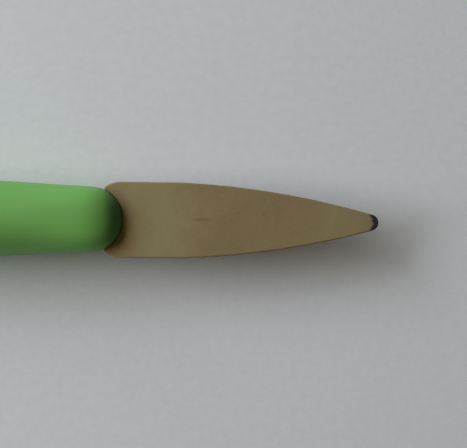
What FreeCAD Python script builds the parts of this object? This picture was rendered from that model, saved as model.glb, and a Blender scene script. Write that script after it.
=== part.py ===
import FreeCAD, Part
import math
import os

# Handled blending stump: a flat, leaf-shaped head of glued paper plies that pushes on to the steel
# tang of a round moulded handle.
#
# Millimetres. X runs along the tool and the tip of the stump points to +X. Z is up. The origin is
# on the surface that the tool lies on, half way between the butt and the tip, under the axis.

Vec = FreeCAD.Vector

# ---- Handle -----------------------------------------------------------------------------------
HANDLE_LENGTH = 120.0       # butt to the front of the nose
BARREL_RADIUS = 4.7         # round grip, and what the tool rests on
BARREL_LENGTH = 63.0        # straight stretch of the barrel
BUTT_RADIUS = 3.75          # rear end of the barrel and its domed plug
BORE_RADIUS = 3.1           # inside of the barrel tube
SWELL_LENGTH = 21.0         # nose front to the start of the straight barrel
SPIGOT_LENGTH = 12.0        # nose spigot inside the tube
PLUG_SPIGOT_LENGTH = 8.0    # butt plug spigot inside the tube
SPIGOT_CLEARANCE = 0.04     # radial glue gap round both spigots

# ---- Nose: a blunt dome, flatter than it is wide ------------------------------------------------
NECK_HALF_HEIGHT = 3.3      # half height where the dome begins
DOME_LENGTH = 5.4           # length over which the top comes down
ROUND_LENGTH = 3.9          # length over which the sides come in
NOSE_LEAD = 0.3             # how far the blunt front stops short of the dome's own end
NOSE_POWER = 3.0            # squareness of the section at the front (2 is an ellipse)
SQUARE_LENGTH = 13.0        # nose front back to where the section has become an ellipse
DOME_POWER = 2.2            # squareness of the dome seen from the side
ROUND_POWER = 1.8           # squareness of the nose seen from above
SECTION_POINTS = 40         # points on each section
NOSE_STATIONS = 24          # sections from the front to the straight barrel
STATION_CROWDING = 1.8      # crowds the sections towards the front, where the shape turns fastest
LOFT_DEGREE = 3             # keeps the surface from rippling between sections

# ---- Stump: five paper plies --------------------------------------------------------------------
STUMP_LENGTH = 30.8         # nose front to the tip
STUMP_WIDTH = 9.1           # across the parallel stretch
PARALLEL_LENGTH = 6.8       # nose front to the start of the taper
TAPER_LEAD_ANGLE = 2.1      # degrees that the taper starts with
TIP_RADIUS = 0.97           # plan radius of the worn tip
HORN_LENGTH = 2.2           # how far the horns reach back beside the nose
HORN_ROOT = 0.2             # nose front back to where the horns start to narrow
HORN_ROUND_RADIUS = 3.4     # plan radius of the outside of the horns
NECK_OVERHANG = 0.67        # how far each side of the stump stands out from the neck
FACE_PLY = 0.25             # ply thicknesses where the stump is flat
INNER_PLY = 0.25
CENTRE_PLY = 0.60
TIP_THINNING = 0.42         # share of the thickness that is pressed away at the tip
MOUTH_CLEARANCE = 0.08      # gap between the stump's hollow rear edge and the nose

# ---- Tang and its pin ---------------------------------------------------------------------------
TANG_WIDTH = 3.4
TANG_THICKNESS = 0.50
TANG_REACH = 20.0           # how far the tang reaches into the stump
TANG_ROOT = 30.0            # how far it reaches back from the nose front
TANG_CLEARANCE = 0.05       # gap on each face of the tang
TANG_END_GAP = 0.30         # room between the tang's end and the closed end of the fork
PIN_RADIUS = 0.75
PIN_SETBACK = 4.0           # pin to the rear end of the tang
PIN_CLEARANCE = 0.02
PIN_SHORTNESS = 0.1         # each end of the pin below the spigot's outside

OVERCUT = 1.0               # how far cutting bodies run past what they cut

# ---- Worked out from the sizes above -------------------------------------------------------------
TIP_X = (HANDLE_LENGTH + STUMP_LENGTH) / 2.0
NOSE_X = TIP_X - STUMP_LENGTH
BUTT_X = NOSE_X - HANDLE_LENGTH
AXIS_Z = BARREL_RADIUS
STUMP_HALF_WIDTH = STUMP_WIDTH / 2.0
STUMP_HALF_THICKNESS = CENTRE_PLY / 2.0 + INNER_PLY + FACE_PLY
NECK_HALF_WIDTH = STUMP_HALF_WIDTH - NECK_OVERHANG
BARREL_FRONT_X = NOSE_X - SWELL_LENGTH
TAPER_FRONT_X = BARREL_FRONT_X - BARREL_LENGTH
PLUG_FACE_X = BUTT_X + BUTT_RADIUS
PIN_X = NOSE_X - TANG_ROOT + PIN_SETBACK
SPIGOT_RADIUS = BORE_RADIUS - SPIGOT_CLEARANCE
REAR_X = NOSE_X - HORN_LENGTH


def rod(x_from, x_to, radius):
    """A cylinder on the tool's axis."""
    return Part.makeCylinder(radius, x_to - x_from, Vec(x_from, 0, AXIS_Z), Vec(1, 0, 0))


def revolved(edges):
    """A solid of revolution about the tool's axis from edges in the XZ plane."""
    face = Part.Face(Part.Wire(edges))
    return face.revolve(Vec(0, 0, AXIS_Z), Vec(1, 0, 0), 360)


def line(start, end):
    return Part.LineSegment(start, end).toShape()


def arc(start, middle, end):
    return Part.Arc(start, middle, end).toShape()


def ease(share):
    """Smooth step from 0 to 1."""
    share = min(max(share, 0.0), 1.0)
    return share * share * (3.0 - 2.0 * share)


def rounding(distance, length, power):
    """Rises from 0 at the end of a blunt nose to 1 at the given length behind it."""
    if distance >= length:
        return 1.0
    return (1.0 - (1.0 - distance / length) ** power) ** (1.0 / power)


def nose_section(back, clearance):
    """Closed section of the nose at a distance behind its front, grown by a clearance."""
    swell = ease((back - NOSE_LEAD) / (SWELL_LENGTH - NOSE_LEAD))
    end = back + NOSE_LEAD
    half_width = NECK_HALF_WIDTH * rounding(end, ROUND_LENGTH, ROUND_POWER)
    half_height = NECK_HALF_HEIGHT * rounding(end, DOME_LENGTH, DOME_POWER)
    half_width += (BARREL_RADIUS - NECK_HALF_WIDTH) * swell + clearance
    half_height += (BARREL_RADIUS - NECK_HALF_HEIGHT) * swell + clearance
    power = NOSE_POWER + (2.0 - NOSE_POWER) * ease(back / SQUARE_LENGTH)
    points = []
    for index in range(SECTION_POINTS):
        angle = 2.0 * math.pi * index / SECTION_POINTS
        across = math.cos(angle)
        up = math.sin(angle)
        y = math.copysign(abs(across) ** (2.0 / power), across) * half_width
        z = math.copysign(abs(up) ** (2.0 / power), up) * half_height
        points.append(Vec(NOSE_X - back + clearance, y, AXIS_Z + z))
    curve = Part.BSplineCurve()
    curve.interpolate(points, PeriodicFlag=True)
    return Part.Wire(curve.toShape())


def nose_body(clearance):
    """The outside of the nose from its blunt front to the straight barrel."""
    sections = []
    for index in range(NOSE_STATIONS + 1):
        back = SWELL_LENGTH * (index / NOSE_STATIONS) ** STATION_CROWDING
        sections.append(nose_section(back, clearance))
    return Part.makeLoft(sections, True, False, False, LOFT_DEGREE)


def tang_outline(clearance, rear_x, end_gap):
    """Plan outline of the tang, or of the room for it, with a round front end."""
    half = TANG_WIDTH / 2.0 + clearance
    front_x = NOSE_X + TANG_REACH + end_gap
    centre_x = front_x - half
    edges = [
        line(Vec(rear_x, -half, 0), Vec(centre_x, -half, 0)),
        arc(Vec(centre_x, -half, 0), Vec(front_x, 0, 0), Vec(centre_x, half, 0)),
        line(Vec(centre_x, half, 0), Vec(rear_x, half, 0)),
        line(Vec(rear_x, half, 0), Vec(rear_x, -half, 0)),
    ]
    return Part.Face(Part.Wire(edges))


def standing(face, z_from, z_to):
    """A plan face raised into a solid between two heights above the axis."""
    moved = face.copy()
    moved.translate(Vec(0, 0, AXIS_Z + z_from))
    return moved.extrude(Vec(0, 0, z_to - z_from))


def cross_pin(radius, half_length):
    return Part.makeCylinder(radius, 2.0 * half_length, Vec(PIN_X, 0, AXIS_Z - half_length))


# ---- Handle pieces --------------------------------------------------------------------------------
def make_nose():
    spigot = rod(BARREL_FRONT_X - SPIGOT_LENGTH, BARREL_FRONT_X, SPIGOT_RADIUS)
    solid = nose_body(0.0).fuse(spigot)
    slot_rear_x = BARREL_FRONT_X - SPIGOT_LENGTH - OVERCUT
    half_slot = TANG_THICKNESS / 2.0 + TANG_CLEARANCE
    slot = standing(tang_outline(TANG_CLEARANCE, slot_rear_x, 0.0), -half_slot, half_slot)
    hole = cross_pin(PIN_RADIUS + PIN_CLEARANCE, SPIGOT_RADIUS + OVERCUT)
    return solid.cut(slot).cut(hole)


def make_barrel_tube():
    """Straight round barrel with a long easy taper behind it, bored right through."""
    taper_mid_x = (TAPER_FRONT_X + PLUG_FACE_X) / 2.0
    drop = BARREL_RADIUS - BUTT_RADIUS
    front_low = Vec(BARREL_FRONT_X, 0, AXIS_Z + BORE_RADIUS)
    front_high = Vec(BARREL_FRONT_X, 0, AXIS_Z + BARREL_RADIUS)
    taper_start = Vec(TAPER_FRONT_X, 0, AXIS_Z + BARREL_RADIUS)
    taper_middle = Vec(taper_mid_x, 0, AXIS_Z + BARREL_RADIUS - drop / 4.0)
    rear_high = Vec(PLUG_FACE_X, 0, AXIS_Z + BUTT_RADIUS)
    rear_low = Vec(PLUG_FACE_X, 0, AXIS_Z + BORE_RADIUS)
    return revolved([
        line(front_low, front_high),
        line(front_high, taper_start),
        arc(taper_start, taper_middle, rear_high),
        line(rear_high, rear_low),
        line(rear_low, front_low),
    ])


def make_butt_plug():
    """Half ball that closes the barrel, on a spigot glued into the bore."""
    spigot_front_x = PLUG_FACE_X + PLUG_SPIGOT_LENGTH
    diagonal = BUTT_RADIUS * math.sqrt(0.5)
    low = Vec(BUTT_X, 0, AXIS_Z)
    middle = Vec(PLUG_FACE_X - diagonal, 0, AXIS_Z + diagonal)
    shoulder = Vec(PLUG_FACE_X, 0, AXIS_Z + BUTT_RADIUS)
    corner = Vec(PLUG_FACE_X, 0, AXIS_Z + SPIGOT_RADIUS)
    spigot_corner = Vec(spigot_front_x, 0, AXIS_Z + SPIGOT_RADIUS)
    spigot_centre = Vec(spigot_front_x, 0, AXIS_Z)
    return revolved([
        arc(low, middle, shoulder),
        line(shoulder, corner),
        line(corner, spigot_corner),
        line(spigot_corner, spigot_centre),
        line(spigot_centre, low),
    ])


def make_tang():
    strip = standing(tang_outline(0.0, NOSE_X - TANG_ROOT, 0.0), -TANG_THICKNESS / 2.0, TANG_THICKNESS / 2.0)
    return strip.cut(cross_pin(PIN_RADIUS + PIN_CLEARANCE, TANG_THICKNESS))


def make_tang_pin():
    """The pin stops short of the spigot's round outside."""
    return cross_pin(PIN_RADIUS, math.sqrt(SPIGOT_RADIUS ** 2 - PIN_RADIUS ** 2) - PIN_SHORTNESS)


# ---- Stump plies ----------------------------------------------------------------------------------
def stump_outline():
    """Plan outline shared by all plies; the hollow rear edge is cut afterwards."""
    half = STUMP_HALF_WIDTH
    lead = math.radians(TAPER_LEAD_ANGLE)
    shoulder_x = NOSE_X + PARALLEL_LENGTH
    tip_centre_x = TIP_X - TIP_RADIUS

    # the long arch starts at the shoulder with the lead angle and runs tangent into the tip
    to_shoulder_x = shoulder_x - tip_centre_x
    inward_x = -math.sin(lead)
    inward_y = -math.cos(lead)
    square = to_shoulder_x ** 2 + half ** 2
    along = to_shoulder_x * inward_x + half * inward_y
    arch_radius = (TIP_RADIUS ** 2 - square) / (2.0 * (along + TIP_RADIUS))
    arch_x = shoulder_x + arch_radius * inward_x
    arch_y = half + arch_radius * inward_y
    meet = math.atan2(-arch_y, tip_centre_x - arch_x)
    start = math.atan2(half - arch_y, shoulder_x - arch_x)
    middle = (meet + start) / 2.0

    # the outside of each horn is an arc that runs tangent into the parallel side
    horn_run = HORN_LENGTH - HORN_ROOT
    horn_drop = HORN_ROUND_RADIUS - math.sqrt(HORN_ROUND_RADIUS ** 2 - horn_run ** 2)
    half_run = horn_run / 2.0
    half_drop = HORN_ROUND_RADIUS - math.sqrt(HORN_ROUND_RADIUS ** 2 - half_run ** 2)
    horn_x = REAR_X + horn_run

    def side(sign):
        rear = Vec(REAR_X, sign * (half - horn_drop), 0)
        bulge = Vec(horn_x - half_run, sign * (half - half_drop), 0)
        horn = Vec(horn_x, sign * half, 0)
        shoulder = Vec(shoulder_x, sign * half, 0)
        arch = Vec(arch_x + arch_radius * math.cos(middle),
                   sign * (arch_y + arch_radius * math.sin(middle)), 0)
        tip_start = Vec(tip_centre_x + TIP_RADIUS * math.cos(meet), sign * TIP_RADIUS * math.sin(meet), 0)
        return rear, bulge, horn, shoulder, arch, tip_start

    rear, bulge, horn, shoulder, arch, tip_start = side(1)
    rear2, bulge2, horn2, shoulder2, arch2, tip_start2 = side(-1)
    return Part.Face(Part.Wire([
        line(rear2, rear),
        arc(rear, bulge, horn),
        line(horn, shoulder),
        arc(shoulder, arch, tip_start),
        arc(tip_start, Vec(TIP_X, 0, 0), tip_start2),
        arc(tip_start2, arch2, shoulder2),
        line(shoulder2, horn2),
        arc(horn2, bulge2, rear2),
    ]))


def ply_surface(share):
    """Edges along the stump, at a share of its half thickness, flat and then pressed thinner."""
    flat_end_x = NOSE_X + TANG_REACH + 2.0 * TANG_END_GAP
    end_x = TIP_X + OVERCUT
    height = share * STUMP_HALF_THICKNESS

    def level(x):
        run = (x - flat_end_x) / (TIP_X - flat_end_x)
        return AXIS_Z + height * (1.0 - TIP_THINNING * run * run)

    middle_x = (flat_end_x + end_x) / 2.0
    rear = Vec(REAR_X - OVERCUT, 0, AXIS_Z + height)
    flat_end = Vec(flat_end_x, 0, AXIS_Z + height)
    end = Vec(end_x, 0, level(end_x))
    return rear, end, [line(rear, flat_end), arc(flat_end, Vec(middle_x, 0, level(middle_x)), end)]


def make_ply(lower_share, upper_share):
    """One ply: the shared outline between two pressed surfaces, hollowed round the nose."""
    low_rear, low_end, low_edges = ply_surface(lower_share)
    high_rear, high_end, high_edges = ply_surface(upper_share)
    edges = low_edges + high_edges + [line(low_rear, high_rear), line(low_end, high_end)]
    profile = Part.Face(Part.Wire(Part.__sortEdges__(edges)))
    profile.translate(Vec(0, -STUMP_WIDTH, 0))
    slab = profile.extrude(Vec(0, 2.0 * STUMP_WIDTH, 0))
    blank = standing(stump_outline(), -2.0 * STUMP_HALF_THICKNESS, 2.0 * STUMP_HALF_THICKNESS)
    return slab.common(blank).cut(nose_body(MOUTH_CLEARANCE))


def make_centre_ply(share):
    """The middle ply is forked round the tang."""
    room = standing(tang_outline(TANG_CLEARANCE, REAR_X - OVERCUT, TANG_END_GAP), -CENTRE_PLY, CENTRE_PLY)
    return make_ply(-share, share).cut(room)


def write(name, shape):
    solids = shape.Solids
    if not shape.isValid() or len(solids) != 1:
        raise RuntimeError("%s: valid %s, %d solids" % (name, shape.isValid(), len(solids)))
    solids[0].exportStep("parts/%s.step" % name)
    print("%-18s %9.2f mm3" % (name, solids[0].Volume))


def main():
    os.makedirs("parts", exist_ok=True)
    centre_share = CENTRE_PLY / 2.0 / STUMP_HALF_THICKNESS
    inner_share = (CENTRE_PLY / 2.0 + INNER_PLY) / STUMP_HALF_THICKNESS
    write("nose", make_nose())
    write("barrel_tube", make_barrel_tube())
    write("butt_plug", make_butt_plug())
    write("tang", make_tang())
    write("tang_pin", make_tang_pin())
    write("face_ply_top", make_ply(inner_share, 1.0))
    write("inner_ply_top", make_ply(centre_share, inner_share))
    write("centre_ply", make_centre_ply(centre_share))
    write("inner_ply_bottom", make_ply(-inner_share, -centre_share))
    write("face_ply_bottom", make_ply(-1.0, -inner_share))


main()
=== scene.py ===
import math

import bpy
from mathutils import Matrix, Vector


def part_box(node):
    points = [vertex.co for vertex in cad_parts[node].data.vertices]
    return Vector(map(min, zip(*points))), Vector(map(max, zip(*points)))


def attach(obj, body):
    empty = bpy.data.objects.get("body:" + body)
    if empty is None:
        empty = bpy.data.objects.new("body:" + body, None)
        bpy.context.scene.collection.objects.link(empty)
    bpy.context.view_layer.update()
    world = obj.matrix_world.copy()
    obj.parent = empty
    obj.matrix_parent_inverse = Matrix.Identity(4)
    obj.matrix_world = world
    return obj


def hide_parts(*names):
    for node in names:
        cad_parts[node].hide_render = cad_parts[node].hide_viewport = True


bl_info = {
    "name": "Blending stump",
    "version": (1, 0, 0),
    "blender": (4, 5, 0),
    "location": "3D View > Sidebar > Stump",
    "description": "A flat paper blending stump on a green moulded handle, and the table it lies on",
    "category": "Add Mesh",
}

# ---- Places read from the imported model, in metres ------------------------------------------------
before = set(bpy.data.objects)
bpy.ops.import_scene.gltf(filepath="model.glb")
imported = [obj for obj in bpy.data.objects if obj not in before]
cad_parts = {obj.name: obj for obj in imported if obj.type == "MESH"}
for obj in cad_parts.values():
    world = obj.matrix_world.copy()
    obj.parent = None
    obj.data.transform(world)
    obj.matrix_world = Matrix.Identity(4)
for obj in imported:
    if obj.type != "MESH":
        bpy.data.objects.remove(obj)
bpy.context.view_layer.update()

MM = 0.001
nose_low, nose_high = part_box("nose")
barrel_low, barrel_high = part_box("barrel_tube")
plug_low, plug_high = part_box("butt_plug")
tang_low, tang_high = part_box("tang")
pin_low, pin_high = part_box("tang_pin")
face_low, face_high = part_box("face_ply_top")

AXIS_Z = (barrel_low.z + barrel_high.z) / 2
BARREL_RADIUS = (barrel_high.z - barrel_low.z) / 2
NOSE_X = nose_high.x
BARREL_FRONT_X = barrel_high.x
SWELL_LENGTH = NOSE_X - BARREL_FRONT_X
PLUG_FACE_X = barrel_low.x
BUTT_X = plug_low.x
SPIGOT_X = nose_low.x
PLUG_SPIGOT_X = plug_high.x
TIP_X = face_high.x
REAR_X = face_low.x
STUMP_HALF_WIDTH = face_high.y
HORN_LENGTH = NOSE_X - REAR_X
FACE_TOP = face_high.z - AXIS_Z
INNER_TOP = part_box("inner_ply_top")[1].z - AXIS_Z
CENTRE_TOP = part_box("centre_ply")[1].z - AXIS_Z
TANG_FRONT_X = tang_high.x
TANG_HALF_WIDTH = tang_high.y
TANG_HALF_THICKNESS = (tang_high.z - tang_low.z) / 2
PIN_X = (pin_low.x + pin_high.x) / 2
PIN_RADIUS = (pin_high.x - pin_low.x) / 2

# ---- How finely things are drawn -----------------------------------------------------------------
WELD = 0.0005 * MM          # points nearer than this are one point
SPIN_STEPS = 96             # sides of the round pieces
ROD_SIDES = 32              # sides of the pin and its holes
RING_POINTS = 16            # points on each ring of the nose's cage
RINGS = 16                  # rings from the nose's front to the straight barrel
RING_CROWDING = 1.8         # crowds the rings towards the front, where the shape turns fastest
CAGE_LEVELS = 3             # times that the cage is subdivided
CAGE_SHRINK = 2 / 3 + math.cos(2 * math.pi / RING_POINTS) / 3     # how far a subdivided ring draws in
FRONT_POWER = 3.0           # squareness of the nose's section at the front (2 is an ellipse)
DOME_POWER = 2.2            # squareness of the dome seen from the side
ROUND_POWER = 2.0           # squareness of the nose seen from above
TAPER_LEAD_ANGLE = 2.1      # degrees that the stump's taper starts with
TIP_THINNING = 0.42         # share of the stump's thickness that is pressed away at the tip
OVERCUT = 1.0 * MM          # how far cutting bodies run past what they cut

# ---- Light and view, in metres, watts and degrees --------------------------------------------------
WINDOW_AWAY = 0.6           # from the nose to the window
WINDOW_LEAN = 29            # how high the window stands over the table
WINDOW_SIDE = 158           # direction of the window round the upright, from the tip's side
WINDOW_WIDTH = 0.68
WINDOW_HEIGHT = 0.30
WINDOW_POWER = 5.05
CEILING_ABOVE = 1.0
CEILING_WIDTH = 1.2
CEILING_POWER = 0.95
ROOM_STRENGTH = 0.01        # of the light from all round
VIEW_ABOVE = 0.16           # from the stump's upper face to the camera
VIEW_WIDTH = 56.04 * MM     # how much of that face the camera takes in
VIEW_FORWARD = 13.34 * MM   # middle of the view, forward of the nose
VIEW_ACROSS = -0.36 * MM
VIEW_TURN = 0.7


# ---- Settings a user would change ----------------------------------------------------------------
def linear(hex_code):
    """An sRGB hex value as the linear colour that shaders use."""
    channels = []
    for index in (0, 2, 4):
        value = int(hex_code[index:index + 2], 16) / 255
        channels.append(value / 12.92 if value <= 0.04045 else ((value + 0.055) / 1.055) ** 2.4)
    return (*channels, 1.0)


def length(name, description, millimetres):
    return bpy.props.FloatProperty(
        name=name, description=description, default=millimetres * MM, min=0.0, unit="LENGTH", precision=5)


def colour(name, description, hex_code):
    return bpy.props.FloatVectorProperty(
        name=name, description=description, default=linear(hex_code), size=4, min=0.0, max=1.0,
        subtype="COLOR")


class StumpSizes(bpy.types.PropertyGroup):
    neck_overhang: length("Neck overhang", "How far each side of the stump stands out from the neck", 0.67)
    neck_half_height: length("Neck half height", "Half height of the neck where the dome begins", 3.3)
    dome_length: length("Dome length", "Length over which the top of the nose comes down", 5.4)
    round_length: length("Round length", "Length over which the sides of the nose come in", 3.7)
    square_length: length("Square length", "Nose front back to where its section is an ellipse", 13.0)
    nose_lead: length("Nose lead", "How far the blunt front stops short of the dome's own end", 0.12)
    spigot_radius: length("Spigot radius", "Radius of the spigots inside the barrel", 3.06)
    bore_radius: length("Bore radius", "Inside of the barrel", 3.1)
    straight_length: length("Straight length", "Straight stretch of the barrel", 63.0)
    butt_radius: length("Butt radius", "Radius of the round end", 3.75)
    parting_groove: length("Parting groove", "Chamfer on each side of the joint lines", 0.12)
    parallel_length: length("Parallel length", "Nose front to the start of the stump's taper", 6.8)
    tip_radius: length("Tip radius", "Plan radius of the worn tip", 0.97)
    horn_root: length("Horn root", "Nose front back to where the horns start to narrow", 0.2)
    horn_round: length("Horn round", "Plan radius of the outside of the horns", 3.4)
    mouth_gap: length("Mouth gap", "Gap between the stump's hollow rear edge and the nose", 0.01)
    tang_gap: length("Tang gap", "Gap on each face of the tang", 0.05)
    tang_end_gap: length("Tang end gap", "Room between the tang's end and the end of the fork", 0.3)
    pin_gap: length("Pin gap", "Gap round the cross pin", 0.02)
    edge_round: length("Edge round", "Sanded radius on the stump's outer edges", 0.12)
    face_mesh: length("Face mesh", "Size of the mesh that the face plies are remade in", 0.10)
    core_mesh: length("Core mesh", "Size of the mesh that the inner plies are remade in", 0.10)
    remesh_spare: length("Remesh spare", "How far remeshing and smoothing draw in a ply's edge", 0.02)
    dent_height: length("Dent height", "Unevenness of the hand-pressed faces", 0.05)


class StumpColours(bpy.types.PropertyGroup):
    handle: colour("Handle", "Green of the moulded handle", "82C364")
    handle_deep: colour("Handle, deep", "Green in the slightly darker clouds of the moulding", "77B959")
    paper: colour("Paper", "Tan of the stump's faces", "99885F")
    paper_dark: colour("Paper, dark", "Darker pulp and fibres in the stump's faces", "87734D")
    # a paler, greener tone laid on the faces in front of the nose and behind the graphite
    paper_pale: colour("Paper, pale", "Paler, greener paper in front of the nose", "9A8D62")
    # painted warm shade where the dome's shadow falls on the paper
    painted_dome_shade: colour("Painted dome shade", "Rust brown of the paper beside the dome", "967644")
    mark: colour("Mark", "Small stains of use on the upper face", "7A6244")
    board: colour("Board", "Cut edge of the inner plies", "9A8460")
    board_dark: colour("Board, dark", "Darker layers in the cut edge", "7C6849")
    # painted shade on the nose's front, with graphite and dust rubbed into the grain
    shade_and_smudge: colour("Shade and smudge", "Dark film on the green of the nose", "1B4C46")
    graphite: colour("Graphite", "Graphite worked into the tip", "242224")
    steel: colour("Steel", "Cold-rolled steel of the tang", "B9B8B4")
    steel_film: colour("Steel, filmed", "Steel under a thin film of oil and dust", "A19F9A")
    table: colour("Table", "Paper that the tool lies on", "EAEBEA")
    table_dark: colour("Table, dark", "The same paper in the hollows of its tooth", "DCDEDE")


# ---- Modelling helpers ---------------------------------------------------------------------------
def start():
    """Object mode with nothing selected and points to be picked, ready for a new primitive."""
    if bpy.context.object and bpy.context.object.mode != "OBJECT":
        bpy.ops.object.mode_set(mode="OBJECT")
    bpy.ops.object.select_all(action="DESELECT")
    bpy.context.tool_settings.mesh_select_mode = (True, False, False)


def only(obj):
    """Object mode, with this one object selected and active."""
    start()
    obj.select_set(True)
    bpy.context.view_layer.objects.active = obj


def pick(obj, kind, test):
    """Edit mode with only those vertices, edges or faces selected that pass a test of their place."""
    only(obj)
    mesh = obj.data
    for items in (mesh.vertices, mesh.edges, mesh.polygons):
        items.foreach_set("select", [False] * len(items))
    if kind == "VERT":
        for vertex in mesh.vertices:
            vertex.select = test(vertex.co)
    elif kind == "EDGE":
        for edge in mesh.edges:
            edge.select = test(*(mesh.vertices[index].co for index in edge.vertices))
    else:
        for face in mesh.polygons:
            face.select = test(face.center, face.normal)
    bpy.context.tool_settings.mesh_select_mode = (kind == "VERT", kind == "EDGE", kind == "FACE")
    bpy.ops.object.mode_set(mode="EDIT")


def extrude(step=(0.0, 0.0, 0.0)):
    """Extrudes what is selected by a step."""
    bpy.ops.mesh.extrude_region_move(TRANSFORM_OT_translate={"value": step})


def resize(scale, centre):
    bpy.ops.transform.resize(value=scale, center_override=centre)


def place(obj):
    """Puts an object's place, turn and size into its mesh, so that it sits at the origin."""
    only(obj)
    bpy.ops.object.transform_apply(location=True, rotation=True, scale=True)


def draw(name, points, closed=True):
    """An outline drawn by extruding one vertex from point to point. It stays in edit mode, all selected."""
    start()
    bpy.ops.mesh.primitive_plane_add(size=MM, location=points[0])
    obj = bpy.context.object
    obj.name = name
    place(obj)
    bpy.ops.object.mode_set(mode="EDIT")
    bpy.ops.mesh.select_all(action="SELECT")
    bpy.ops.mesh.merge(type="CENTER")
    ends = points[1:] + points[:1] if closed else points[1:]
    for here, there in zip(points, ends):
        extrude(Vector(there) - Vector(here))
    bpy.ops.mesh.select_all(action="SELECT")
    bpy.ops.mesh.remove_doubles(threshold=WELD)
    return obj


def spun(name, profile, closed):
    """A body turned about the tool's axis from (x, radius) points."""
    obj = draw(name, [(x, 0.0, AXIS_Z + radius) for x, radius in profile], closed)
    bpy.ops.mesh.spin(steps=SPIN_STEPS, angle=2 * math.pi, center=(0, 0, AXIS_Z), axis=(1, 0, 0))
    outwards(obj)
    return obj


def slab(name, outline, bottom, top):
    """A flat outline raised between two heights above the axis."""
    obj = draw(name, [(x, y, AXIS_Z + bottom) for x, y in outline])
    bpy.ops.mesh.edge_face_add()
    extrude((0, 0, top - bottom))
    outwards(obj)
    return obj


def apply(obj, kind, **settings):
    """Adds a modifier, sets it and applies it."""
    only(obj)
    modifier = obj.modifiers.new(kind.title(), kind)
    for key, value in settings.items():
        setattr(modifier, key, value)
    bpy.ops.object.modifier_apply(modifier=modifier.name)


def cut(obj, tool):
    """Takes one closed body out of another and throws the tool away."""
    apply(obj, "BOOLEAN", operation="DIFFERENCE", object=tool, solver="EXACT")
    bpy.data.objects.remove(tool)


def upright_rod(radius, x, half_height):
    """An upright round bar on the axis, for the pin and for the holes that it goes through."""
    start()
    bpy.ops.mesh.primitive_cylinder_add(
        vertices=ROD_SIDES, radius=radius, depth=2 * half_height, location=(x, 0, AXIS_Z))
    rod = bpy.context.object
    place(rod)
    return rod


def copy_of(obj):
    """A copy with a mesh of its own."""
    only(obj)
    bpy.ops.object.duplicate(linked=False)
    return bpy.context.object


def smooth(obj, angle):
    only(obj)
    bpy.ops.object.shade_smooth_by_angle(angle=math.radians(angle))


def outwards(obj):
    """Merges doubles and turns every face outwards."""
    only(obj)
    bpy.ops.object.mode_set(mode="EDIT")
    bpy.ops.mesh.select_all(action="SELECT")
    bpy.ops.mesh.remove_doubles(threshold=WELD)
    bpy.ops.mesh.normals_make_consistent(inside=False)
    bpy.ops.object.mode_set(mode="OBJECT")


def arc(centre, radius, start_angle, end_angle, steps):
    """Points on a round stretch, both ends included."""
    points = []
    for index in range(steps + 1):
        angle = start_angle + (end_angle - start_angle) * index / steps
        points.append((centre[0] + radius * math.cos(angle), centre[1] + radius * math.sin(angle)))
    return points


def ease(share):
    """Smooth step from 0 to 1."""
    share = min(max(share, 0.0), 1.0)
    return share * share * (3.0 - 2.0 * share)


def rounding(distance, length, power):
    """Rises from 0 at the end of a blunt nose to 1 at the given length behind it."""
    if distance >= length:
        return 1.0
    return (1.0 - (1.0 - distance / length) ** power) ** (1.0 / power)


def finish_piece(obj, name, body, slot, material, *nodes):
    """Names a piece, gives it its material, ties it to its body and lets it stand for its CAD nodes."""
    if not obj.data.polygons:
        raise RuntimeError(name + " has no faces")
    obj.name = name
    obj.data.name = name
    obj.data.materials.clear()
    obj.data.materials.append(material)
    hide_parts(*nodes)
    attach(obj, body)


# ---- Materials -----------------------------------------------------------------------------------
def node(tree, kind, links=(), **settings):
    """Adds one node. Links join its inputs to other nodes' outputs, settings set its fields or inputs."""
    made = tree.nodes.new(kind)
    for key, value in settings.items():
        if hasattr(made, key):
            setattr(made, key, value)
        else:
            made.inputs[key.replace("_", " ")].default_value = value
    for target, source in dict(links).items():
        tree.links.new(source, made.inputs[target])
    return made


def new_material(name):
    """A named material, and its empty node tree if it isn't there yet."""
    material = bpy.data.materials.get(name)
    if material:
        return material, None
    material = bpy.data.materials.new(name)
    material.use_nodes = True
    material.node_tree.nodes.clear()
    return material, material.node_tree


def per(millimetres):
    """Noise scale whose features are about this many millimetres across."""
    return 1.0 / (millimetres * MM)


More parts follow.
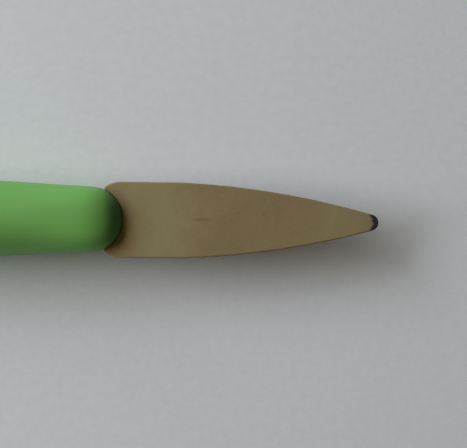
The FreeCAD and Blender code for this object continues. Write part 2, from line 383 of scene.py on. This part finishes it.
def moulded_polypropylene(colours):
    """Injection-moulded polypropylene: even colour, a fine matt grain, soft highlights, handling marks, and
    painted shade with graphite on the nose's front.
    """
    material, tree = new_material("Polypropylene, injection moulded, matt")
    if tree is None:
        return material
    where = node(tree, "ShaderNodeTexCoord").outputs["Object"]
    along = node(tree, "ShaderNodeSeparateXYZ", {"Vector": where}).outputs["X"]

    # pigment lies in soft clouds about 5 mm across
    cloud = node(tree, "ShaderNodeTexNoise", {"Vector": where}, Scale=per(5.0), Detail=3.0)
    tone = node(tree, "ShaderNodeMix", {"Factor": cloud.outputs["Fac"]},
                data_type="RGBA", A=colours.handle, B=colours.handle_deep)

    # painted shade on the nose's front, darkest at the joint with the paper, with graphite and dust rubbed
    # into the grain there
    shade_and_smudge = node(tree, "ShaderNodeTexNoise", {"Vector": where}, Scale=per(1.1), Detail=4.0)
    near = node(tree, "ShaderNodeMapRange", {"Value": along}, interpolation_type="SMOOTHSTEP",
                From_Min=NOSE_X - 2.5 * MM, From_Max=NOSE_X - 0.6 * MM, To_Max=0.66)
    held = node(tree, "ShaderNodeMapRange", {"Value": shade_and_smudge.outputs["Fac"]}, From_Min=0.3, From_Max=0.6,
                To_Min=0.75, To_Max=1.0)
    amount = node(tree, "ShaderNodeMath", {0: near.outputs["Result"], 1: held.outputs["Result"]},
                  operation="MULTIPLY")
    shaded_and_dirty = node(tree, "ShaderNodeMix", {"Factor": amount.outputs["Value"], "A": tone.outputs["Result"]},
                 data_type="RGBA", B=colours.shade_and_smudge)

    # long faint rubs from the hand, about 0.4 mm wide
    stretch = node(tree, "ShaderNodeMapping", {"Vector": where}, Scale=(0.08, 1.0, 1.0))
    rub = node(tree, "ShaderNodeTexNoise", {"Vector": stretch.outputs["Vector"]}, Scale=per(0.4), Detail=3.0)
    gloss = node(tree, "ShaderNodeMapRange", {"Value": rub.outputs["Fac"]}, From_Min=0.35, From_Max=0.65,
                 To_Min=0.48, To_Max=0.60)

    # the eroded mould's grain, drawn at 0.16 mm so that it still shows
    grain = node(tree, "ShaderNodeTexNoise", {"Vector": where}, Scale=per(0.16), Detail=2.0)
    bump = node(tree, "ShaderNodeBump", {"Height": grain.outputs["Fac"]}, Strength=0.35, Distance=0.02 * MM)
    shader = node(tree, "ShaderNodeBsdfPrincipled",
                  {"Base Color": shaded_and_dirty.outputs["Result"], "Normal": bump.outputs["Normal"],
                   "Roughness": gloss.outputs["Result"]}, IOR=1.49)
    node(tree, "ShaderNodeOutputMaterial", {"Surface": shader.outputs["BSDF"]})
    return material


def pressed_paper(colours):
    """Soft grey-brown paper, pressed and sanded: matt and fuzzy, mottled with fibres, stained in use, and
    painted with warm shade beside the dome.
    """
    material, tree = new_material("Stump paper, pressed and sanded")
    if tree is None:
        return material
    where = node(tree, "ShaderNodeTexCoord").outputs["Object"]
    parts = node(tree, "ShaderNodeSeparateXYZ", {"Vector": where})

    # broad clouds of darker pulp about 7 mm across, and felted fibres about 0.7 mm long
    cloud = node(tree, "ShaderNodeTexNoise", {"Vector": where}, Scale=per(7.0), Detail=5.0, Roughness=0.62)
    stretch = node(tree, "ShaderNodeMapping", {"Vector": where}, Scale=(0.45, 1.0, 1.0))
    fibre = node(tree, "ShaderNodeTexNoise", {"Vector": stretch.outputs["Vector"]},
                 Scale=per(0.32), Detail=5.0)
    mottle = node(tree, "ShaderNodeMix", {"Factor": cloud.outputs["Fac"]},
                  data_type="RGBA", A=colours.paper, B=colours.paper_dark)
    felt = node(tree, "ShaderNodeMapRange", {"Value": fibre.outputs["Fac"]}, From_Min=0.3, From_Max=0.7,
                To_Min=0.0, To_Max=0.32)
    base = node(tree, "ShaderNodeMix", {"Factor": felt.outputs["Result"], "A": mottle.outputs["Result"]},
                data_type="RGBA", B=colours.paper_dark)

    # soft patches on the faces: forward of the nose, across, length, width, strength, colour
    patches = (
        (3.0, 0.4, 11.0, 16.0, 0.80, colours.paper_pale),  # paler and greener in front of the nose
        (26.6, 0.0, 6.5, 9.0, 0.55, colours.paper_pale),   # paler again behind the graphite
        (0.7, -1.1, 2.2, 6.0, 0.30, colours.painted_dome_shade),    # painted warm shade beside the dome and on the lower horn, where its shadow falls
        (-0.8, -3.3, 3.6, 2.0, 0.40, colours.painted_dome_shade),
        (9.5, 0.10, 1.9, 0.42, 0.48, colours.mark),         # a faint lengthwise streak
        (2.65, -1.05, 0.26, 0.20, 0.60, colours.mark),      # a speck
        (13.9, 0.9, 0.5, 0.5, 0.30, colours.mark),
        (16.9, 0.85, 0.45, 0.45, 0.30, colours.mark),
    )
    wander = node(tree, "ShaderNodeTexNoise", {"Vector": where}, Scale=per(2.2), Detail=3.0)
    # the dome patches mixed in here are painted shade; the others are tone and marks of use
    worn = base
    for forward, across, long, wide, strength, colour_of in patches:
        spot = node(tree, "ShaderNodeMapping", {"Vector": where}, vector_type="TEXTURE",
                    Location=(NOSE_X + forward * MM, across * MM, AXIS_Z),
                    Scale=(long * MM / 2, wide * MM / 2, 4.0 * MM))
        away = node(tree, "ShaderNodeVectorMath", {0: spot.outputs["Vector"]}, operation="LENGTH")
        ragged = node(tree, "ShaderNodeMath", {0: away.outputs["Value"], 1: wander.outputs["Fac"]},
                      operation="ADD")
        soft = node(tree, "ShaderNodeMapRange", {"Value": ragged.outputs["Value"]},
                    interpolation_type="SMOOTHSTEP", From_Min=1.0, From_Max=2.0, To_Min=strength, To_Max=0.0)
        worn = node(tree, "ShaderNodeMix", {"Factor": soft.outputs["Result"], "A": worn.outputs["Result"]},
                    data_type="RGBA", B=colour_of)

    # graphite worked into the last millimetre, with an edge that bows towards the tip
    bow = node(tree, "ShaderNodeMath", {0: parts.outputs["Y"], 1: parts.outputs["Y"]}, operation="MULTIPLY")
    edge = node(tree, "ShaderNodeMath", {0: bow.outputs["Value"], 2: parts.outputs["X"]},
                operation="MULTIPLY_ADD")
    edge.inputs[1].default_value = 1 / (2.2 * MM)
    tooth = node(tree, "ShaderNodeMath", {0: fibre.outputs["Fac"], 2: edge.outputs["Value"]},
                 operation="MULTIPLY_ADD")
    tooth.inputs[1].default_value = 0.5 * MM
    black = node(tree, "ShaderNodeMapRange", {"Value": tooth.outputs["Value"]},
                 interpolation_type="SMOOTHSTEP",
                 From_Min=TIP_X - 0.70 * MM, From_Max=TIP_X - 0.28 * MM, To_Max=0.97)
    worked = node(tree, "ShaderNodeMix", {"Factor": black.outputs["Result"], "A": worn.outputs["Result"]},
                  data_type="RGBA", B=colours.graphite)

    bump = node(tree, "ShaderNodeBump", {"Height": fibre.outputs["Fac"]}, Strength=0.5, Distance=0.03 * MM)
    shader = node(tree, "ShaderNodeBsdfPrincipled",
                  {"Base Color": worked.outputs["Result"], "Normal": bump.outputs["Normal"]},
                  Roughness=0.95, IOR=1.45, Sheen_Weight=0.15, Sheen_Roughness=0.6)
    shader.inputs["Specular IOR Level"].default_value = 0.25
    node(tree, "ShaderNodeOutputMaterial", {"Surface": shader.outputs["BSDF"]})
    return material


def cut_board(colours):
    """Die-cut grey board: a little rougher and darker than the faces, with its layers showing at the cut."""
    material, tree = new_material("Grey board, die cut")
    if tree is None:
        return material
    where = node(tree, "ShaderNodeTexCoord").outputs["Object"]
    parts = node(tree, "ShaderNodeSeparateXYZ", {"Vector": where})

    # pressed layers about 0.1 mm thick, broken up along the edge
    flat = node(tree, "ShaderNodeMapping", {"Vector": where}, Scale=(0.06, 0.06, 1.0))
    layers = node(tree, "ShaderNodeTexNoise", {"Vector": flat.outputs["Vector"]}, Scale=per(0.1), Detail=3.0)
    tone = node(tree, "ShaderNodeMix", {"Factor": layers.outputs["Fac"]},
                data_type="RGBA", A=colours.board, B=colours.board_dark)

    # the tip's graphite reaches all the plies
    black = node(tree, "ShaderNodeMapRange", {"Value": parts.outputs["X"]}, interpolation_type="SMOOTHSTEP",
                 From_Min=TIP_X - 1.2 * MM, From_Max=TIP_X - 0.7 * MM, To_Max=0.97)
    worked = node(tree, "ShaderNodeMix", {"Factor": black.outputs["Result"], "A": tone.outputs["Result"]},
                  data_type="RGBA", B=colours.graphite)
    fibre = node(tree, "ShaderNodeTexNoise", {"Vector": where}, Scale=per(0.18), Detail=3.0)
    bump = node(tree, "ShaderNodeBump", {"Height": fibre.outputs["Fac"]}, Strength=0.6, Distance=0.04 * MM)
    shader = node(tree, "ShaderNodeBsdfPrincipled",
                  {"Base Color": worked.outputs["Result"], "Normal": bump.outputs["Normal"]},
                  Roughness=0.95, IOR=1.45)
    shader.inputs["Specular IOR Level"].default_value = 0.25
    node(tree, "ShaderNodeOutputMaterial", {"Surface": shader.outputs["BSDF"]})
    return material


def cold_rolled_steel(colours):
    """Cold-rolled steel strip: dull metal with fine rolling lines along it."""
    material, tree = new_material("Steel strip, cold rolled")
    if tree is None:
        return material
    where = node(tree, "ShaderNodeTexCoord").outputs["Object"]

    # rolling lines about 0.12 mm apart that run along the strip
    rolled = node(tree, "ShaderNodeMapping", {"Vector": where}, Scale=(0.03, 1.0, 1.0))
    lines = node(tree, "ShaderNodeTexNoise", {"Vector": rolled.outputs["Vector"]},
                 Scale=per(0.12), Detail=3.0)
    dulled = node(tree, "ShaderNodeMapRange", {"Value": lines.outputs["Fac"]}, From_Min=0.3, From_Max=0.7,
                  To_Min=0.30, To_Max=0.48)
    bump = node(tree, "ShaderNodeBump", {"Height": lines.outputs["Fac"]}, Strength=0.25, Distance=0.01 * MM)

    # a thin film of oil and dust in patches about 3 mm across
    film = node(tree, "ShaderNodeTexNoise", {"Vector": where}, Scale=per(3.0), Detail=3.0)
    tone = node(tree, "ShaderNodeMix", {"Factor": film.outputs["Fac"]},
                data_type="RGBA", A=colours.steel, B=colours.steel_film)
    shader = node(tree, "ShaderNodeBsdfPrincipled",
                  {"Base Color": tone.outputs["Result"], "Roughness": dulled.outputs["Result"],
                   "Normal": bump.outputs["Normal"]}, Metallic=1.0)
    node(tree, "ShaderNodeOutputMaterial", {"Surface": shader.outputs["BSDF"]})
    return material


def drawing_paper(colours):
    """Uncoated drawing paper: pale, matt and faintly toothed."""
    material, tree = new_material("Drawing paper, uncoated")
    if tree is None:
        return material
    where = node(tree, "ShaderNodeTexCoord").outputs["Object"]

    # felt-side tooth about 1 mm across, and broad cockling about 9 mm across
    tooth = node(tree, "ShaderNodeTexNoise", {"Vector": where}, Scale=per(1.0), Detail=4.0, Roughness=0.6)
    cockle = node(tree, "ShaderNodeTexNoise", {"Vector": where}, Scale=per(9.0), Detail=2.0)
    tone = node(tree, "ShaderNodeMix", {"Factor": tooth.outputs["Fac"]},
                data_type="RGBA", A=colours.table, B=colours.table_dark)
    fine = node(tree, "ShaderNodeBump", {"Height": tooth.outputs["Fac"]}, Strength=0.30, Distance=0.06 * MM)
    broad = node(tree, "ShaderNodeBump", {"Height": cockle.outputs["Fac"], "Normal": fine.outputs["Normal"]},
                 Strength=0.25, Distance=0.12 * MM)
    shader = node(tree, "ShaderNodeBsdfPrincipled",
                  {"Base Color": tone.outputs["Result"], "Normal": broad.outputs["Normal"]}, Roughness=0.95)
    shader.inputs["Specular IOR Level"].default_value = 0.2
    node(tree, "ShaderNodeOutputMaterial", {"Surface": shader.outputs["BSDF"]})
    return material


# ---- Handle --------------------------------------------------------------------------------------
def nose_shell(sizes, gap):
    """The outside of the nose, grown by a gap: rings on a bar, each sized and squared, then subdivided."""
    neck_half_width = STUMP_HALF_WIDTH - sizes.neck_overhang
    quarter = RING_POINTS // 4
    stations = []
    for index in range(RINGS + 1):
        stations.append(SWELL_LENGTH * (index / RINGS) ** RING_CROWDING)

    start()
    bpy.ops.mesh.primitive_circle_add(
        vertices=RING_POINTS, radius=BARREL_RADIUS, location=(NOSE_X + gap, 0, AXIS_Z),
        rotation=(0, math.pi / 2, 0))
    shell = bpy.context.object
    place(shell)
    bpy.ops.object.mode_set(mode="EDIT")
    bpy.ops.mesh.select_all(action="SELECT")
    for near, far in zip(stations, stations[1:]):
        extrude((near - far, 0, 0))

    for back in stations:
        swell = ease((back - sizes.nose_lead) / (SWELL_LENGTH - sizes.nose_lead))
        end = back + sizes.nose_lead
        half_width = neck_half_width * rounding(end, sizes.round_length, ROUND_POWER)
        half_height = sizes.neck_half_height * rounding(end, sizes.dome_length, DOME_POWER)
        half_width += (BARREL_RADIUS - neck_half_width) * swell + gap
        half_height += (BARREL_RADIUS - sizes.neck_half_height) * swell + gap
        power = FRONT_POWER + (2.0 - FRONT_POWER) * ease(back / sizes.square_length)
        x = NOSE_X + gap - back
        for step in range(quarter + 1):
            angle = step * math.pi / 2 / quarter
            wide = abs(math.cos(angle)) ** (2 / power - 1) if step < quarter else 1.0
            high = abs(math.sin(angle)) ** (2 / power - 1) if step > 0 else 1.0

            def on_step(co):
                turn = math.atan2(abs(co.z - AXIS_Z), abs(co.y)) / (math.pi / 2 / quarter)
                return abs(co.x - x) < WELD and round(turn) == step

            pick(shell, "VERT", on_step)
            scale = 1 / (BARREL_RADIUS * CAGE_SHRINK)
            resize((1, wide * half_width * scale, high * half_height * scale), (x, 0, AXIS_Z))

    pick(shell, "VERT", lambda co: abs(co.x - NOSE_X - gap) < WELD)
    bpy.ops.mesh.edge_face_add()
    bpy.ops.mesh.inset(thickness=sizes.nose_lead)
    apply(shell, "SUBSURF", levels=CAGE_LEVELS, render_levels=CAGE_LEVELS)
    return shell


def tang_strip(name, sizes, gap, end_gap, rear_x):
    """A flat strip along the axis with a round front end: the tang, or the room for it."""
    half = TANG_HALF_WIDTH + gap
    front_x = TANG_FRONT_X + end_gap
    outline = [(rear_x, half), (rear_x, -half)]
    outline += arc((front_x - half, 0), half, -math.pi / 2, math.pi / 2, ROD_SIDES // 2)
    return slab(name, outline, -TANG_HALF_THICKNESS - gap, TANG_HALF_THICKNESS + gap)


class STUMP_OT_nose(bpy.types.Operator):
    """Models the moulded nose: dome, neck, swell and spigot, slotted for the tang and drilled for its pin"""
    bl_idname = "stump.nose"
    bl_label = "Nose"

    def execute(self, context):
        sizes = context.scene.stump_sizes
        nose = nose_shell(sizes, 0.0)

        # the joint line is a fine groove, and behind it the spigot runs into the barrel
        rim = BARREL_RADIUS - sizes.parting_groove
        pick(nose, "VERT", lambda co: abs(co.x - BARREL_FRONT_X) < WELD)
        resize((1, rim / BARREL_RADIUS, rim / BARREL_RADIUS), (BARREL_FRONT_X, 0, AXIS_Z))
        extrude()
        resize((1, sizes.spigot_radius / rim, sizes.spigot_radius / rim), (BARREL_FRONT_X, 0, AXIS_Z))
        extrude((SPIGOT_X - BARREL_FRONT_X + sizes.nose_lead, 0, 0))
        extrude((-sizes.nose_lead, 0, 0))
        lead_in = 1 - sizes.nose_lead / sizes.spigot_radius
        resize((1, lead_in, lead_in), (SPIGOT_X, 0, AXIS_Z))
        bpy.ops.mesh.edge_face_add()
        outwards(nose)

        cut(nose, tang_strip("slot", sizes, sizes.tang_gap, 0.0, SPIGOT_X - OVERCUT))
        cut(nose, upright_rod(PIN_RADIUS + sizes.pin_gap, PIN_X, sizes.spigot_radius + OVERCUT))
        smooth(nose, 35)
        finish_piece(nose, "moulded_nose", "handle", "moulded_green",
                     moulded_polypropylene(context.scene.stump_colours), "nose")
        return {"FINISHED"}


class STUMP_OT_barrel(bpy.types.Operator):
    """Models the barrel: a straight round tube that tapers to the butt, with softened rims"""
    bl_idname = "stump.barrel"
    bl_label = "Barrel"

    def execute(self, context):
        sizes = context.scene.stump_sizes
        groove = sizes.parting_groove
        taper_x = BARREL_FRONT_X - sizes.straight_length
        drop = BARREL_RADIUS - sizes.butt_radius
        profile = [(BARREL_FRONT_X, sizes.bore_radius), (BARREL_FRONT_X, BARREL_RADIUS - groove),
                   (BARREL_FRONT_X - 2 * groove, BARREL_RADIUS)]
        straights = 8
        for index in range(1, straights):
            profile.append((BARREL_FRONT_X - sizes.straight_length * index / straights, BARREL_RADIUS))
        tapers = 16
        for index in range(tapers):
            share = index / tapers
            profile.append((taper_x + (PLUG_FACE_X - taper_x) * share, BARREL_RADIUS - drop * share ** 2))
        profile += [(PLUG_FACE_X + 2 * groove, sizes.butt_radius),
                    (PLUG_FACE_X, sizes.butt_radius - groove), (PLUG_FACE_X, sizes.bore_radius)]
        barrel = spun("barrel", profile, True)
        smooth(barrel, 20)
        finish_piece(barrel, "moulded_barrel", "handle", "moulded_green",
                     moulded_polypropylene(context.scene.stump_colours), "barrel_tube")
        return {"FINISHED"}


class STUMP_OT_butt(bpy.types.Operator):
    """Models the butt plug: half a ball with the moulding's gate mark in its middle, on a spigot"""
    bl_idname = "stump.butt"
    bl_label = "Butt plug"

    def execute(self, context):
        sizes = context.scene.stump_sizes
        groove = sizes.parting_groove
        gate_radius = 0.62 * MM
        gate_depth = 0.14 * MM
        stub_radius = 0.22 * MM
        stub_height = 0.07 * MM
        floor_x = BUTT_X + gate_depth
        profile = [(floor_x - stub_height, 0.0), (floor_x - stub_height, stub_radius),
                   (floor_x, stub_radius + stub_height / 2), (floor_x, gate_radius)]
        first = math.asin((gate_radius + stub_height) / sizes.butt_radius)
        last = math.acos(groove / sizes.butt_radius)
        steps = 24
        for index in range(steps + 1):
            angle = first + (last - first) * index / steps
            profile.append((PLUG_FACE_X - sizes.butt_radius * math.cos(angle),
                            sizes.butt_radius * math.sin(angle)))
        profile += [(PLUG_FACE_X, sizes.butt_radius - groove), (PLUG_FACE_X, sizes.spigot_radius),
                    (PLUG_SPIGOT_X - sizes.nose_lead, sizes.spigot_radius),
                    (PLUG_SPIGOT_X, sizes.spigot_radius - sizes.nose_lead), (PLUG_SPIGOT_X, 0.0)]
        plug = spun("plug", profile, False)
        smooth(plug, 25)
        finish_piece(plug, "moulded_butt", "handle", "moulded_green",
                     moulded_polypropylene(context.scene.stump_colours), "butt_plug")
        return {"FINISHED"}


class STUMP_OT_tang(bpy.types.Operator):
    """Models the steel strip with deburred edges, and the cross pin that holds it in the nose"""
    bl_idname = "stump.tang"
    bl_label = "Tang and pin"

    def execute(self, context):
        sizes = context.scene.stump_sizes
        steel = cold_rolled_steel(context.scene.stump_colours)
        deburr = 0.08 * MM
        tang = tang_strip("tang strip", sizes, 0.0, 0.0, tang_low.x)
        cut(tang, upright_rod(PIN_RADIUS + sizes.pin_gap, PIN_X, TANG_HALF_THICKNESS + OVERCUT))
        apply(tang, "BEVEL", width=deburr, segments=2, limit_method="ANGLE", angle_limit=math.radians(40))
        smooth(tang, 30)
        finish_piece(tang, "steel_tang", "handle", "strip_steel", steel, "tang")

        pin = upright_rod(PIN_RADIUS, PIN_X, (pin_high.z - pin_low.z) / 2)
        pick(pin, "FACE", lambda centre, normal: abs(normal.z) > 0.9)
        bpy.ops.mesh.bevel(offset=2 * deburr, segments=3, affect="EDGES")
        outwards(pin)
        smooth(pin, 40)
        finish_piece(pin, "steel_pin", "handle", "strip_steel", steel, "tang_pin")
        return {"FINISHED"}


# ---- Stump ---------------------------------------------------------------------------------------
def stump_outline(sizes, spare):
    """Plan outline shared by all plies: horns, parallel sides, a long pointed arch and a small round tip.

    It is drawn larger by a spare width, which remeshing and smoothing then draw in."""
    half = STUMP_HALF_WIDTH + spare
    tip_radius = sizes.tip_radius + spare
    lead = math.radians(TAPER_LEAD_ANGLE)
    shoulder_x = NOSE_X + sizes.parallel_length
    tip_x = TIP_X - tip_radius

    # the arch starts at the shoulder with the lead angle and runs tangent into the tip
    run = shoulder_x - tip_x
    inward = (-math.sin(lead), -math.cos(lead))
    along = run * inward[0] + half * inward[1]
    radius = (tip_radius ** 2 - run ** 2 - half ** 2) / (2 * (along + tip_radius))
    arch = (shoulder_x + radius * inward[0], half + radius * inward[1])
    meet = math.atan2(-arch[1], tip_x - arch[0])
    arch_start = math.atan2(half - arch[1], shoulder_x - arch[0])

    # the outside of each horn runs tangent into the parallel side
    horn = (NOSE_X - sizes.horn_root, half - sizes.horn_round)
    horn_turn = math.asin((HORN_LENGTH + spare - sizes.horn_root) / sizes.horn_round)

    side = arc(horn, sizes.horn_round, math.pi / 2 + horn_turn, math.pi / 2, 8)
    side += arc(arch, radius, arch_start, meet, 24)
    side += arc((tip_x, 0), tip_radius, meet, 0.0, 8)[1:]
    return side + [(x, -y) for x, y in reversed(side[:-1])]


def press_tip(plies, sizes):
    """Presses all plies thinner towards the tip, with a lattice from the tang's end to the tip."""
    flat_x = TANG_FRONT_X + 2 * sizes.tang_end_gap
    stations = 9
    start()
    bpy.ops.object.add(type="LATTICE", location=((flat_x + TIP_X) / 2, 0, AXIS_Z))
    cage = bpy.context.object
    cage.scale = (TIP_X - flat_x, 2 * STUMP_HALF_WIDTH, 2 * FACE_TOP)
    cage.data.points_u = stations
    cage.data.interpolation_type_u = "KEY_BSPLINE"
    cage.data.interpolation_type_v = "KEY_LINEAR"
    cage.data.interpolation_type_w = "KEY_LINEAR"
    for point in cage.data.points:
        run = point.co.x + 0.5
        point.co_deform.z = point.co.z * (1 - TIP_THINNING * run ** 2)
    bpy.context.view_layer.update()
    for ply in plies:
        apply(ply, "LATTICE", object=cage)
    bpy.data.objects.remove(cage)


def dent(ply, size, height, seed):
    """Uneven, hand-pressed surface: soft bumps of one size and height."""
    clouds = bpy.data.textures.new("dents", "CLOUDS")
    clouds.noise_scale = size
    clouds.noise_depth = 2
    start()
    bpy.ops.object.empty_add(location=(seed * 7 * MM, seed * 3 * MM, 0))
    shift = bpy.context.object
    bpy.context.view_layer.update()
    apply(ply, "DISPLACE", texture=clouds, strength=height, mid_level=0.5,
          texture_coords="OBJECT", texture_coords_object=shift)
    bpy.data.objects.remove(shift)
    bpy.data.textures.remove(clouds)


class STUMP_OT_plies(bpy.types.Operator):
    """Models the five paper plies, hollowed round the nose, forked round the tang, pressed to the tip"""
    bl_idname = "stump.plies"
    bl_label = "Paper plies"

    def execute(self, context):
        sizes = context.scene.stump_sizes
        colours = context.scene.stump_colours
        outline = stump_outline(sizes, sizes.remesh_spare)
        mouth = nose_shell(sizes, sizes.mouth_gap)
        pick(mouth, "VERT", lambda co: abs(co.x - BARREL_FRONT_X - sizes.mouth_gap) < WELD)
        bpy.ops.mesh.edge_face_add()
        outwards(mouth)

        levels = (("face_top", INNER_TOP, FACE_TOP), ("inner_top", CENTRE_TOP, INNER_TOP),
                  ("centre", -CENTRE_TOP, CENTRE_TOP), ("inner_bottom", -INNER_TOP, -CENTRE_TOP),
                  ("face_bottom", -FACE_TOP, -INNER_TOP))
        plies = []
        for seed, (name, bottom, top) in enumerate(levels):
            ply = slab(name, outline, bottom, top)
            face = name.startswith("face")
            if face:
                outer = AXIS_Z + (top if top > 0 else bottom)
                pick(ply, "EDGE", lambda one, two: abs(one.z - outer) + abs(two.z - outer) < WELD)
                bpy.ops.mesh.bevel(offset=sizes.edge_round, segments=4, affect="EDGES")
                outwards(ply)
            cut(ply, copy_of(mouth))
            if name == "centre":
                cut(ply, tang_strip("room", sizes, sizes.tang_gap, sizes.tang_end_gap, REAR_X - OVERCUT))
            apply(ply, "REMESH", mode="VOXEL", voxel_size=sizes.face_mesh if face else sizes.core_mesh)
            apply(ply, "SMOOTH", factor=0.5, iterations=4)
            if face:
                dent(ply, 2.4 * MM, sizes.dent_height, seed)
                dent(ply, 0.5 * MM, sizes.dent_height / 4, seed)
            plies.append(ply)
        bpy.data.objects.remove(mouth)
        press_tip(plies, sizes)

        nodes = {"face_top": "face_ply_top", "inner_top": "inner_ply_top", "centre": "centre_ply",
                 "inner_bottom": "inner_ply_bottom", "face_bottom": "face_ply_bottom"}
        for ply, (name, bottom, top) in zip(plies, levels):
            smooth(ply, 60)
            if name.startswith("face"):
                finish_piece(ply, "paper_" + name, "stump", "stump_paper",
                             pressed_paper(colours), nodes[name])
            else:
                finish_piece(ply, "board_" + name, "stump", "stump_board", cut_board(colours), nodes[name])
        return {"FINISHED"}


# ---- Stage ---------------------------------------------------------------------------------------
class STUMP_OT_stage(bpy.types.Operator):
    """Adds the table, the soft light and the camera"""
    bl_idname = "stump.stage"
    bl_label = "Stage"

    def execute(self, context):
        colours = context.scene.stump_colours
        start()
        bpy.ops.mesh.primitive_plane_add(size=3.0, location=(0, 0, 0))
        table = bpy.context.object
        table.name = "table"
        table.data.materials.append(drawing_paper(colours))

        # a wide low window beyond the butt, and a weak warm bounce from the ceiling
        aim = Vector((NOSE_X, 0, AXIS_Z))
        lean = math.radians(WINDOW_LEAN)
        side = math.radians(WINDOW_SIDE)
        away = Vector((math.cos(side) * math.cos(lean), math.sin(side) * math.cos(lean), math.sin(lean)))
        bpy.ops.object.light_add(type="AREA", location=aim + away * WINDOW_AWAY)
        window = bpy.context.object
        window.name = "window"
        window.rotation_euler = away.to_track_quat("Z", "Y").to_euler()
        window.data.shape = "RECTANGLE"
        window.data.size = WINDOW_WIDTH
        window.data.size_y = WINDOW_HEIGHT
        window.data.energy = WINDOW_POWER
        window.data.color = (0.88, 0.915, 1.0)

        bpy.ops.object.light_add(type="AREA", location=aim + Vector((0, 0, CEILING_ABOVE)))
        ceiling = bpy.context.object
        ceiling.name = "ceiling"
        ceiling.data.size = CEILING_WIDTH
        ceiling.data.energy = CEILING_POWER
        ceiling.data.color = (1.0, 0.83, 0.4)

        world = bpy.data.worlds.new("soft room light")
        context.scene.world = world
        world.use_nodes = True
        background = world.node_tree.nodes["Background"]
        background.inputs["Color"].default_value = (1.0, 0.94, 0.84, 1.0)
        background.inputs["Strength"].default_value = ROOM_STRENGTH

        bpy.ops.object.camera_add(
            location=(NOSE_X + VIEW_FORWARD, VIEW_ACROSS, face_high.z + VIEW_ABOVE))
        camera = bpy.context.object
        camera.name = "camera"
        camera.rotation_euler = (0, 0, math.radians(VIEW_TURN))
        camera.data.sensor_width = 36.0
        camera.data.lens = camera.data.sensor_width * VIEW_ABOVE / VIEW_WIDTH
        camera.data.clip_start = 0.01
        context.scene.camera = camera
        context.scene.view_settings.view_transform = "Standard"
        return {"FINISHED"}


class STUMP_PT_panel(bpy.types.Panel):
    bl_label = "Blending stump"
    bl_idname = "STUMP_PT_panel"
    bl_space_type = "VIEW_3D"
    bl_region_type = "UI"
    bl_category = "Stump"

    def draw(self, context):
        for operator in OPERATORS:
            self.layout.operator(operator.bl_idname)


OPERATORS = (STUMP_OT_stage, STUMP_OT_nose, STUMP_OT_barrel, STUMP_OT_butt, STUMP_OT_tang, STUMP_OT_plies)
CLASSES = (StumpSizes, StumpColours, *OPERATORS, STUMP_PT_panel)


def register():
    for cls in CLASSES:
        bpy.utils.register_class(cls)
    bpy.types.Scene.stump_sizes = bpy.props.PointerProperty(type=StumpSizes)
    bpy.types.Scene.stump_colours = bpy.props.PointerProperty(type=StumpColours)


def unregister():
    del bpy.types.Scene.stump_colours
    del bpy.types.Scene.stump_sizes
    for cls in reversed(CLASSES):
        bpy.utils.unregister_class(cls)


def main():
    register()
    bpy.ops.stump.stage()
    bpy.ops.stump.nose()
    bpy.ops.stump.barrel()
    bpy.ops.stump.butt()
    bpy.ops.stump.tang()
    bpy.ops.stump.plies()


if __name__ == "__main__":
    main()
